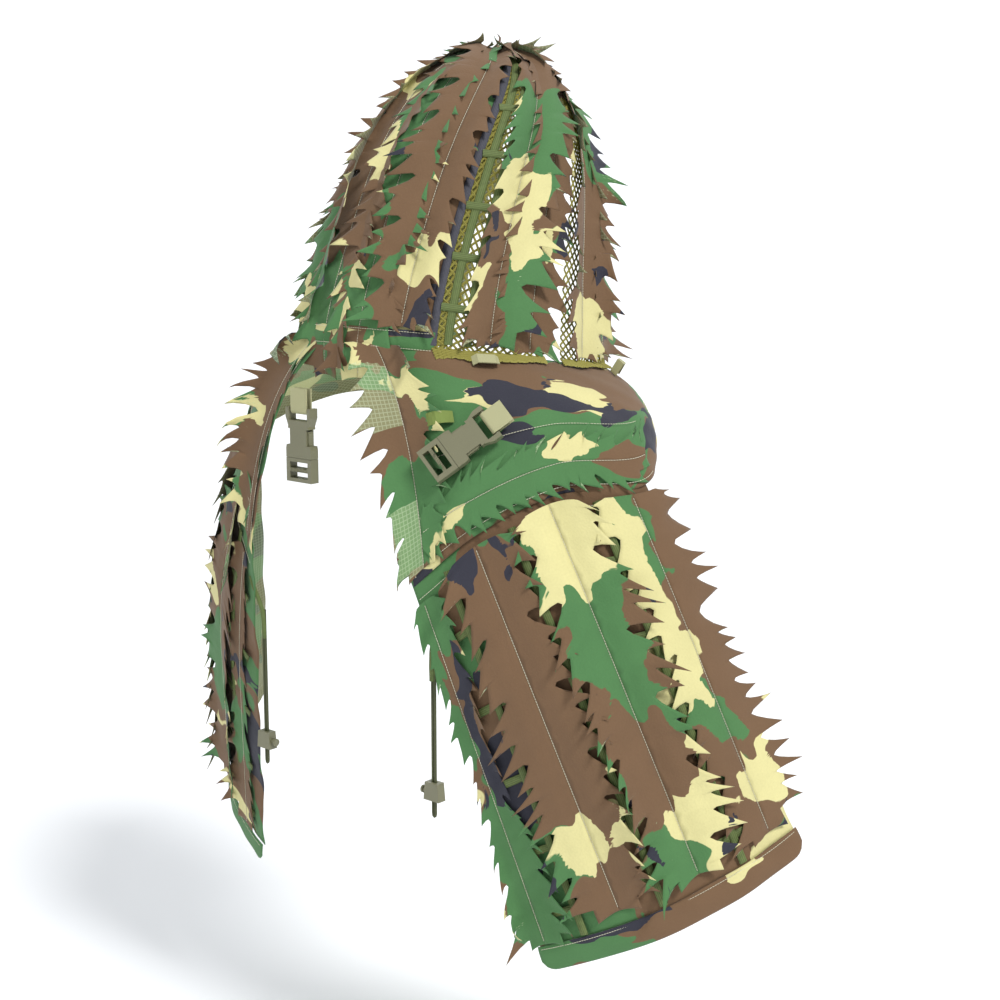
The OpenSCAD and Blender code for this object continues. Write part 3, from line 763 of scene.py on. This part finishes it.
def hood_netting(left, side):
    mesh, face = "hood_mesh_" + side, "hood_face_panel_" + side
    netting(mesh, mesh, 37, 79, -1.0, 9.3, left, wave=0.14)
    netting("hood_face_mesh_" + side, face, 86.5, 134, -0.85, 9.3, left, wave=0.12)


both(hood_netting)


TAPE_WIDE, TAPE_THICK = 9, 0.9


def band(points, normals, width, thick):
    """A flat tape along a line of points: its points, faces and cloth coordinates."""
    d = unit(np.gradient(points, axis=0))
    side = unit(np.cross(d, normals))
    run = np.concatenate([[0], np.cumsum(np.linalg.norm(np.diff(points, axis=0), axis=1))])
    ring = [(-0.5, 0), (-0.46, 1), (0, 1.12), (0.46, 1), (0.5, 0), (0, -0.1)]
    v = np.stack([points + side * width * x + normals * thick * (y - 0.5) for x, y in ring], 1)
    uv = np.stack([np.stack([0 * run + width * x, run], -1) for x, y in ring], 1)
    n, m = len(points), len(ring)
    f = []
    for i in range(n - 1):
        for k in range(m):
            f.append((i * m + k, i * m + (k + 1) % m, (i + 1) * m + (k + 1) % m, (i + 1) * m + k))
    for i in (0, n - 1):
        f.append((i * m, i * m + 1, i * m + 3, i * m + 4))
    return v.reshape(-1, 3), np.array(f), uv.reshape(-1, 2)


def tapes(name, body, slot_name, surf, lines, mat, left, off):
    """Several tapes on a surface as one piece. A line is (u0, v0, u1, v1, lift)."""
    vs, fs, us, start = [], [], [], 0
    for u0, v0, u1, v1, lift in lines:
        q = np.linspace(0, 1, 60 if u0 == u1 else 24)
        p, n, _, _ = surf.at(u0 + (u1 - u0) * q, v0 + (v1 - v0) * q, off + lift)
        v, f, uv = band(p, n, TAPE_WIDE, TAPE_THICK)
        vs.append(v)
        fs.append(f + start)
        us.append(uv)
        start += len(v)
    ob = add(name, slot_name, *(np.concatenate(q) for q in (vs, fs)), [mat], np.concatenate(us), left=left)
    attach(ob, body)
    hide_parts(name)


def hood_tapes(left, side):
    edge = [(37.3, 0.05, 37.3, 9.2, 0)]
    tapes("seam_tape_" + side, "suit", "seam_tape", HOOD, edge, TAPE, left, 1.4)
    lines = [(t, 0.1, t, 9.2, 1.4) for t in (42.8, 49.5)]
    lines += [(38.6, k, 51, k - 0.05, 2.2) for k in (1.1, 2.2, 3.3, 4.5, 5.9)]
    tapes("hood_ladder_" + side, "suit", "elastic", HOOD, lines, ELASTIC, left, 0.6)


both(hood_tapes)


# ---------------------------------------------------------------- shoulder covers and sleeves
YOKE_SPOTS = [
    ("green", 0.08, 0.04, 0.07, 1), ("brown", 0.12, 0.14, 0.07, 1), ("green", 0.20, 0.09, 0.05, 1),
    ("black", 0.32, 0.24, 0.07, 1), ("brown", 0.14, 0.30, 0.08, 1), ("green", 0.28, 0.17, 0.05, 1),
    ("black", 0.20, 0.42, 0.05, 1), ("black", 0.44, 0.33, 0.08, 1), ("brown", 0.14, 0.50, 0.08, 1),
    ("tan", 0.36, 0.44, 0.05, 1), ("tan", 0.34, 0.51, 0.05, 1), ("black", 0.46, 0.45, 0.05, 1),
    ("green", 0.50, 0.12, 0.10, 1), ("green", 0.66, 0.20, 0.10, 1), ("green", 0.58, 0.40, 0.08, 1),
    ("green", 0.75, 0.20, 0.12, 1), ("black", 0.62, 0.32, 0.05, 1), ("brown", 0.3, 0.62, 0.1, 1),
]
SLEEVE_SPOTS = [
    ("green", 0.05, 0.10, 0.2, 1), ("brown", 0.1, 0.5, 0.25, 1), ("brown", 0.5, 0.3, 0.2, 1),
    ("black", 0.6, 0.05, 0.2, 1), ("green", 0.95, 0.2, 0.15, 1), ("brown", 0.95, 0.6, 0.15, 1),
]
CUFF_SPOTS = [
    ("green", 0.08, 0.05, 0.12, 1), ("black", 0.0, 0.19, 0.05, 1), ("green", 0.12, 0.26, 0.07, 1),
    ("black", 0.05, 0.40, 0.07, 1), ("brown", 0.08, 0.60, 0.14, 1), ("tan", 0.0, 0.80, 0.055, 1),
    ("brown", 0.08, 0.93, 0.08, 1),
]


CUFF_TOP, CUFF_TALL = 0.9355, 0.0645
CORNER_WIDE, CORNER_TALL = 0.05, 0.028


def cuff_end(e):
    """How far down the cuff reaches at each place: its corners are rounded."""
    e = np.clip(e, 0, 1)
    x = np.clip((CORNER_WIDE - np.minimum(e, 1 - e)) / CORNER_WIDE, 0, 1)
    end = 1 - CORNER_TALL * (1 - np.sqrt(1 - np.minimum(x, 0.999) ** 2))
    return (end - CUFF_TOP) / CUFF_TALL


def cuff_puff(e, r):
    """The cuff is thicker along its middle."""
    return 1.3 * np.sin(np.clip((r - CUFF_TOP) / CUFF_TALL, 0, 1) * math.pi) ** 0.5


def tuck(e, r):
    """The sleeve's top edge dips under the shoulder cover."""
    return -1.0 * np.clip((0.025 - r) / 0.03, 0, 1)


def shoulders(left, side):
    sleeve_body = "sleeve_" + side
    panel(
        "yoke_" + side, "suit", YOKE, (0, 1, 110), (0, 1, 60), YOKE_SPOTS,
        off=-1.3, wave=1.1, left=left, seed=11,
    )
    panel(
        "sleeve_" + side, sleeve_body, SLEEVE, (0, 1, 60), (-0.02, 0.94, 110), SLEEVE_SPOTS,
        off=-2.6, wave=1.3, left=left, seed=14, extra=tuck,
    )
    panel(
        "cuff_" + side, sleeve_body, SLEEVE, (-0.002, 1.002, 80), (CUFF_TOP, 1.0, 16), CUFF_SPOTS,
        off=0.8, wave=1.2, left=left, seed=14, lower=cuff_end, extra=cuff_puff, tall=0.15,
    )
    lines = [(e, 0.02, e, 0.93, 1.1) for e in (0.175, 0.47, 0.78)]
    lines += [(0.05, r, 0.93, r, 0.0) for r in (0.16, 0.34, 0.52, 0.70, 0.86)]
    tapes("sleeve_ladder_" + side, sleeve_body, "elastic", SLEEVE, lines, ELASTIC, left, 0.6)


both(shoulders)


def cord_tab(left, side):
    """The flat elastic that holds the draw cord's top to the sleeve's back edge."""
    p = [(-149, 187, -262), (-145, 187, -274), (-139, 185, -288)]
    p += [(-135, 183, -302), (-134, 182.5, -318), (-134, 182, -334)]
    n = unit(np.tile([-0.55, 0.83, 0.0], (len(p), 1)))
    v, f, uv = band(np.array(p, float), n, 9, 4.0)
    ob = add("cord_tab_" + side, "elastic", v, f, [ELASTIC], uv, left=left)
    attach(ob, "sleeve_" + side)


both(cord_tab)


# ---------------------------------------------------------------- leaf strips on the hood
def down(u, v0, v1):
    """A path straight down a surface."""
    return lambda q: (u + 0 * q, v0 + (v1 - v0) * q)


PLAIN_BROWN = [("brown", 0.5, 0, 0.3, 0.8)]
LEFT_HOOD_CURL = (2.2, 2.0)
HOOD_STRIPS = [
    # number, place, top, bottom, half widths, lift, curls, seed
    (1, 8.8, 9.7, -1.3, (54, 52), 2.0, ((4, 14), (4, 14)), 21),
    (2, 25.5, 9.6, 0.50, (56, 40), 8.5, ((5, 16), (5, 14)), 22),
    (3, 57.5, 9.5, 0.20, (42, 60), 8.5, ((8, 20), (5, 14)), 23),
    (4, 72.5, 9.4, 0.10, (50, 44), 2.4, ((4, 10), (4, 14)), 24),
    (5, 99.0, 9.4, 0.10, (52, 56), 8.0, ((6, 20), (8, 24)), 25),
    (6, 121, 9.3, 0.15, (50, 78), 2.4, ((6, 18), (6, 16)), 26),
]
RIGHT_HOOD = {
    1: [
        ("green", 0.1, 0, 0.16, 1), ("green", 0.35, 0.0, 0.15, 1), ("tan", 0.45, -0.2, 0.09, 1),
        ("green", 0.58, 0.1, 0.12, 1), ("brown", 0.68, -0.1, 0.08, 1), ("green", 0.83, 0.0, 0.14, 1),
        ("tan", 0.97, 0.0, 0.08, 1),
    ],
    2: [
        ("brown", 0.1, 0, 0.2, 1), ("black", 0.27, -0.1, 0.05, 1), ("brown", 0.4, 0, 0.2, 1),
        ("black", 0.5, 0.22, 0.05, 1), ("brown", 0.65, 0, 0.16, 1), ("tan", 0.83, 0.1, 0.12, 1),
        ("black", 0.96, 0.1, 0.08, 1), ("tan", 0.72, 0.3, 0.06, 1),
    ],
    3: [
        ("brown", 0.15, 0, 0.14, 1), ("green", 0.38, 0.05, 0.16, 1), ("tan", 0.56, 0.0, 0.09, 1),
        ("black", 0.64, -0.15, 0.05, 1), ("tan", 0.74, 0.1, 0.08, 1), ("green", 0.86, 0.15, 0.09, 1),
        ("tan", 0.84, -0.2, 0.09, 1), ("black", 0.97, 0.2, 0.06, 1),
    ],
    4: [
        ("brown", 0.2, 0, 0.25, 1), ("brown", 0.5, 0, 0.16, 1), ("green", 0.67, -0.1, 0.09, 1),
        ("tan", 0.76, 0.05, 0.06, 1), ("brown", 0.88, 0, 0.14, 1), ("tan", 0.44, 0.2, 0.05, 1),
    ],
    5: [
        ("tan", 0.12, 0, 0.1, 1), ("green", 0.3, 0.1, 0.12, 1), ("black", 0.42, 0.2, 0.08, 1),
        ("brown", 0.55, 0, 0.14, 1), ("brown", 0.7, 0, 0.1, 1), ("black", 0.78, 0.1, 0.06, 1),
        ("tan", 0.92, 0.0, 0.12, 1),
    ],
    6: [
        ("green", 0.2, 0.1, 0.15, 1), ("brown", 0.5, 0, 0.2, 1), ("green", 0.8, 0, 0.1, 1),
    ],
}
LEFT_HOOD = {
    1: [
        ("brown", 0.12, 0, 0.12, 1), ("tan", 0.27, 0.0, 0.12, 1), ("brown", 0.5, 0, 0.2, 1),
        ("black", 0.66, 0.2, 0.06, 1), ("green", 0.82, 0.1, 0.12, 1), ("brown", 0.7, 0.25, 0.1, 1),
    ],
    2: [
        ("tan", 0.3, 0, 0.12, 1), ("brown", 0.5, 0.1, 0.2, 1), ("green", 0.75, 0, 0.15, 1),
        ("tan", 0.95, 0, 0.1, 1),
    ],
    3: [
        ("black", 0.3, 0, 0.1, 1), ("brown", 0.6, 0, 0.2, 1), ("green", 0.85, 0, 0.15, 1),
    ],
}


def hood_strips(left, side):
    for k, t, top, low, width, lift, curls, seed in HOOD_STRIPS:
        spots = (LEFT_HOOD if left else RIGHT_HOOD).get(k, PLAIN_BROWN)
        if left:
            curls = tuple((LEFT_HOOD_CURL[0] * a, LEFT_HOOD_CURL[1] * b) for a, b in curls)
            seed += 50
        leaf_strip(
            f"hood_strip_{k}_{side}", "suit", HOOD, down(t, top, low), width, seed, lift, curls, spots, left,
            gap=58, taper=(0.75, 1.0, 1.0),
        )


both(hood_strips)


# ---------------------------------------------------------------- leaf strips on the sleeves
WIDE_TOP, NARROW_TOP = (0.95, 1.0, 1.0), (0.6, 0.5, 1.1)
SLEEVE_STRIPS = [
    # number, place, top, bottom, half widths, lift, curls, taper, seed
    (1, 0.03, 0.04, 0.93, (44, 56), 2.0, ((16, 36), (8, 20)), NARROW_TOP, 31),
    (2, 0.32, 0.015, 0.90, (62, 62), 5.4, ((4, 13), (4, 12)), WIDE_TOP, 32),
    (3, 0.62, 0.008, 0.90, (62, 62), 7.8, ((4, 13), (4, 12)), WIDE_TOP, 33),
    (4, 0.905, 0.008, 0.90, (58, 58), 2.6, ((3, 9), (4, 13)), WIDE_TOP, 34),
]
LEFT_FIRST = (1, 0.11, 0.04, 0.93, (26, 54), 2.0, ((6, 14), (16, 34)), NARROW_TOP, 31)
LEFT_LAST = (4, 0.905, 0.008, 0.90, (58, 22), 2.6, ((3, 9), (4, 13)), WIDE_TOP, 34)
LEFT_SLEEVE = [("brown", 0.2, 0, 0.15, 0.8), ("green", 0.6, 0, 0.15, 0.8)]
RIGHT_SLEEVE = {
    1: [
        ("green", 0.08, 0, 0.12, 1), ("black", 0.22, 0.1, 0.1, 1), ("green", 0.36, -0.1, 0.1, 1),
        ("black", 0.45, 0.1, 0.1, 1), ("brown", 0.35, 0.25, 0.08, 1), ("black", 0.58, 0.0, 0.08, 1),
        ("green", 0.72, 0, 0.1, 1), ("black", 0.66, 0.1, 0.05, 1), ("green", 0.9, 0, 0.14, 1),
    ],
    2: [
        ("black", 0.03, 0.0, 0.11, 1), ("brown", 0.3, 0, 0.2, 1), ("brown", 0.55, 0, 0.2, 1),
        ("tan", 0.8, -0.05, 0.08, 1), ("tan", 0.64, 0.25, 0.05, 1), ("brown", 0.93, 0.1, 0.08, 1),
        ("brown", 0.7, 0.1, 0.1, 1),
    ],
    3: [
        ("tan", 0.1, 0, 0.17, 1), ("green", 0.38, 0, 0.13, 1), ("green", 0.5, 0.05, 0.12, 1),
        ("brown", 0.68, 0, 0.13, 1), ("brown", 0.2, 0.3, 0.05, 1), ("tan", 0.85, 0.08, 0.08, 1),
        ("black", 0.86, -0.18, 0.07, 1), ("black", 0.92, 0.2, 0.06, 1),
    ],
    4: [
        ("tan", 0.1, -0.15, 0.1, 1), ("tan", 0.3, -0.15, 0.12, 1), ("tan", 0.5, -0.15, 0.12, 1),
        ("brown", 0.15, 0.15, 0.09, 1), ("brown", 0.3, 0.25, 0.07, 1), ("brown", 0.55, 0.2, 0.12, 1),
        ("brown", 0.75, -0.2, 0.12, 1), ("tan", 0.85, 0.1, 0.09, 1),
    ],
}


def sleeve_strips(left, side):
    strips = [LEFT_FIRST, *SLEEVE_STRIPS[1:3], LEFT_LAST] if left else SLEEVE_STRIPS
    for k, e, top, low, width, lift, curls, taper, seed in strips:
        spots = LEFT_SLEEVE if left else RIGHT_SLEEVE[k]
        leaf_strip(
            f"sleeve_strip_{k}_{side}", "sleeve_" + side, SLEEVE, down(e, top, low), width,
            seed + (50 if left else 0), lift, curls, spots, left, gap=66, taper=taper,
        )


both(sleeve_strips)


# ---------------------------------------------------------------- leaf trims of the shoulder covers
ACROSS = Surface(lambda s, c: yoke(c, s), 0.02, 0.01).facing(0.5, 0.5, (-1, 0, 0.3))
TRIM_SPOTS = [
    ("green", 0.4, 0, 0.6, 1), ("tan", 0.12, 0.08, 0.13, 1), ("tan", 0.66, -0.12, 0.12, 1),
    ("brown", 0.9, 0, 0.1, 1),
]
RIGHT_EDGE_SPOTS = [
    ("brown", 0.1, 0, 0.1, 1), ("tan", 0.25, 0.1, 0.12, 1), ("brown", 0.4, 0, 0.1, 1),
    ("green", 0.7, 0, 0.2, 1),
]
LEFT_EDGE_SPOTS = [
    ("tan", 0.1, 0, 0.1, 1), ("brown", 0.3, 0.1, 0.15, 1), ("tan", 0.45, 0.1, 0.08, 1),
    ("brown", 0.7, 0, 0.2, 1),
]


def trim_path(q):
    return 0.86 - 0.03 * q, 0.04 + 0.56 * q


def edge_path(q):
    return 0.03 + 0.01 * q, 0.01 + 0.96 * q


def trims(left, side):
    leaf_strip(
        "yoke_trim_" + side, "suit", ACROSS, trim_path, (36, 36), 41, 2.2, ((6, 14), (2, 5)), TRIM_SPOTS,
        left, gap=46,
    )
    width = (15, 58) if left else (50, 46)
    curls = ((14, 30), (22, 42)) if left else ((12, 30), (10, 30))
    spots = LEFT_EDGE_SPOTS if left else RIGHT_EDGE_SPOTS
    leaf_strip(
        "edge_strip_" + side, "suit", YOKE, edge_path, width, 43, 3.2, curls, spots, left, gap=56,
        flip=not left,
    )


both(trims)


# ---------------------------------------------------------------- stitches
def seam_line(body, surf, u0, v0, u1, v1, off, left):
    """A line of stitches between two places on a surface."""
    q = np.linspace(0, 1, 120)
    p, n, _, _ = surf.at(u0 + (u1 - u0) * q, v0 + (v1 - v0) * q, off)
    run = np.concatenate([[0], np.cumsum(np.linalg.norm(np.diff(p, axis=0), axis=1))])
    at = np.linspace(0, run[-1], max(2, int(run[-1] / STITCH)))
    p = np.stack([np.interp(at, run, p[:, k]) for k in range(3)], -1)
    n = unit(np.stack([np.interp(at, run, n[:, k]) for k in range(3)], -1))
    stitch_line(body, p, n, left)


def seams(left, side):
    body = "sleeve_" + side
    seam_line(body, SLEEVE, 0.01, 0.9420, 0.99, 0.9420, 2.2, left)
    seam_line(body, SLEEVE, 0.015, 0.03, 0.985, 0.03, 1.0, left)
    seam_line("suit", YOKE, 0.03, 0.965, 0.62, 0.965, 1.2, left)
    seam_line("suit", YOKE, 0.02, 0.62, 0.60, 0.60, 1.2, left)
    seam_line("suit", YOKE, 0.012, 0.1, 0.012, 0.98, 1.0, left)
    if not left:
        for k in (0.36, -0.12):
            seam_line("suit", HOOD, -37, k, 37, k, 3.4, left)


def sew(body, lines):
    """Every stitch on one body as one piece, with a little gap between stitches."""
    ends = []
    for p, n in lines:
        d = p[1:] - p[:-1]
        ends.append((p[:-1] + 0.10 * d, p[1:] - 0.14 * d, n[:-1], n[1:]))
    verts, faces = prisms(*(np.concatenate(q) for q in zip(*ends)), THREAD_R)
    ob = add("stitches_" + body, "camo_cloth", verts, faces, [THREAD])
    attach(ob, body)


both(seams)
for body, lines in STITCHES.items():
    sew(body, lines)


# ---------------------------------------------------------------- webbing, keeper, buckles and locks
def dress(node, mat, bevel):
    """Finish a hard or webbing CAD part as it stands."""
    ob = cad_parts[node]
    ob.data.materials.clear()
    ob.data.materials.append(mat)
    if bevel:
        m = ob.modifiers.new("edges", "BEVEL")
        m.width, m.segments, m.limit_method, m.angle_limit = bevel * MM, 2, "ANGLE", math.radians(35)
        ob.modifiers.new("normals", "WEIGHTED_NORMAL")


for side in ("right", "left"):
    for part in ("buckle_socket_", "buckle_plug_", "cord_lock_", "lock_plunger_"):
        dress(part + side, PLASTIC, 0.5)
    for part in ("tab_", "loop_back_", "loop_front_"):
        dress(part + side, WEBBING, 0)
dress("keeper_right", KEEPER, 0)


# ---------------------------------------------------------------- floor and light
STUDIO_TURN = 223
LOW = Vector((0, 0, -0.2))


def plain_floor():
    """A pale floor that curves up into a backdrop."""
    me = bpy.data.meshes.new("floor")
    y = [-9, -4, 6, 8, 9.5, 10.5, 11]
    z = [-0.9, -0.9, -0.9, -0.6, 0.6, 3.5, 9]
    turn = math.radians(STUDIO_TURN)
    ax, ay = math.sin(turn), -math.cos(turn)
    verts = []
    for a, b in zip(y, z):
        for s in (-14, 14):
            verts.append((-ax * a + ay * s, -ay * a - ax * s, b))
    faces = [(2 * i, 2 * i + 1, 2 * i + 3, 2 * i + 2) for i in range(len(y) - 1)]
    me.from_pydata(verts, [], faces)
    me.polygons.foreach_set("use_smooth", [True] * len(faces))
    ob = bpy.data.objects.new("floor", me)
    scene.collection.objects.link(ob)
    n = Nodes("floor")
    n.set(Base_Color=(0.93, 0.94, 0.95, 1), Roughness=0.9, Specular_IOR_Level=0.1)
    me.materials.append(n.mat)
    return ob


def add_light(name, kind, aim, place, power, **settings):
    """A light at a place, pointing back along its aim."""
    data = bpy.data.lights.new(name, kind)
    data.energy = power
    for key, value in settings.items():
        setattr(data, key, value)
    ob = bpy.data.objects.new(name, data)
    ob.location = place
    ob.rotation_euler = aim.to_track_quat("Z", "Y").to_euler()
    scene.collection.objects.link(ob)
    return ob


def soft_light(name, turn, rise, far, size, power):
    aim = direction(turn, rise)
    return add_light(name, "AREA", aim, aim * far + LOW, power, size=size)


def sun_light(name, turn, rise, power):
    aim = direction(turn, rise)
    return add_light(name, "SUN", aim, aim * 3, power, angle=math.radians(14))


plain_floor()
sun_light("key", STUDIO_TURN + 36, 46, 2.5)
soft_light("fill", STUDIO_TURN - 50, 22, 3.4, 2.2, 18)
soft_light("top", STUDIO_TURN + 170, 62, 3.0, 1.6, 24)
world = bpy.data.worlds.new("studio")
world.use_nodes = True
world.node_tree.nodes["Background"].inputs[0].default_value = (0.93, 0.96, 1.0, 1)
world.node_tree.nodes["Background"].inputs[1].default_value = 0.52
scene.world = world
scene.view_settings.view_transform = "Standard"
